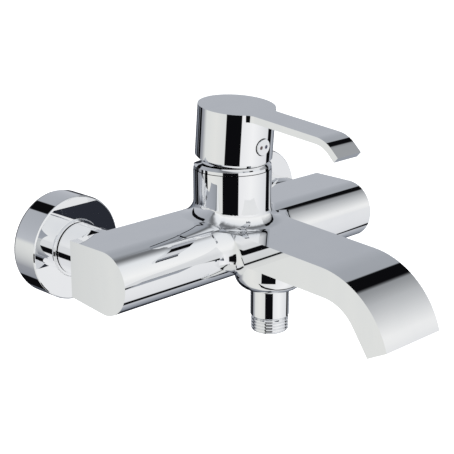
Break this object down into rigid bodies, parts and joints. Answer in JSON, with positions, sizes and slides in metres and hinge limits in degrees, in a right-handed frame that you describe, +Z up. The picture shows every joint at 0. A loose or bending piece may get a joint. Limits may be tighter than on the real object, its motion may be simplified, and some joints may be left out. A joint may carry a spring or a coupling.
{
  "type": "wall mounted bath mixer",
  "caption": "Exposed wall mounted single-lever bath mixer with a ribbon spout, side diverter and threaded shower outlet.",
  "frame": {"origin": "on the wall plane, midway between the two inlet axes of the body", "axes": "+X along the wall to the right as seen from the room, -Y from the wall into the room, +Z up"},
  "size_m": [0.2092, 0.2166, 0.1267],
  "materials": {
    "chrome": "polished chrome plate",
    "brass": "machined brass",
    "steel": "stainless steel",
    "rubber": "black sealing rubber",
    "foam": "closed-cell foam",
    "cartridge_plastic": "moulded acetal",
    "ceramic": "lapped alumina ceramic",
    "insert_plastic": "moulded grey plastic",
    "hot_enamel": "dark red enamel",
    "cold_enamel": "dark blue enamel"
  },
  "bodies": {
    "body": {"body_casting": "chrome", "eccentric_union_left": "brass", "eccentric_union_right": "brass", "union_nut_left": "chrome", "union_nut_right": "chrome", "inlet_washer_left": "rubber", "inlet_washer_right": "rubber", "inlet_strainer_left": "steel", "inlet_strainer_right": "steel", "inlet_tail_left": "brass", "inlet_tail_right": "brass", "escutcheon_left": "chrome", "escutcheon_right": "chrome", "escutcheon_seal_left": "foam", "escutcheon_seal_right": "foam", "port_seals": "rubber", "cartridge_base": "cartridge_plastic", "fixed_disc": "ceramic", "cartridge_housing": "cartridge_plastic", "cartridge_nut": "brass", "flow_insert": "insert_plastic", "flow_insert_seal": "rubber", "shower_outlet": "chrome", "shower_outlet_seal": "rubber", "check_valve_housing": "insert_plastic", "check_valve_spring": "steel", "diverter_gland": "chrome", "gland_seal": "rubber"},
    "mixer_swivel": {"swivel": "cartridge_plastic", "stem_pin": "steel", "turret_collar": "chrome"},
    "lever": {"handle": "chrome", "stem": "steel", "grub_screw": "steel", "index_plug": "chrome", "hot_mark": "hot_enamel", "cold_mark": "cold_enamel"},
    "disc_slide": {"disc_carrier": "cartridge_plastic", "moving_disc": "ceramic"},
    "diverter": {"diverter_plug": "brass", "diverter_seals": "rubber", "diverter_knob": "chrome", "knob_screw": "steel"},
    "check_poppet": {"check_valve_poppet": "insert_plastic"}
  },
  "joints": [
    {"name": "temperature", "type": "hinge", "parent": "body", "child": "mixer_swivel", "pos_m": [0, -0.0663, 0.0393], "axis": [0, 0, 1], "range_deg": [-45, 45]},
    {"name": "lift", "type": "hinge", "parent": "mixer_swivel", "child": "lever", "pos_m": [0, -0.0663, 0.0393], "axis": [-1, 0, 0], "range_deg": [0, 17]},
    {"name": "disc_travel", "type": "slide", "parent": "mixer_swivel", "child": "disc_slide", "axis": [0, -1, 0], "range_m": [0, 0.00436]},
    {"name": "diverter_turn", "type": "hinge", "parent": "body", "child": "diverter", "pos_m": [0, -0.096, -0.008], "axis": [-1, 0, 0], "range_deg": [0, 90]},
    {"name": "check_valve_lift", "type": "slide", "parent": "body", "child": "check_poppet", "axis": [0, 0, -1], "range_m": [0, 0.003], "stiffness_N_per_m": 60, "springref_m": -0.003, "deforming": ["check_valve_spring"]}
  ],
  "couplings": [
    {"joint": "disc_travel", "follows": "lift", "m_per_rad": 0.014518}
  ]
}
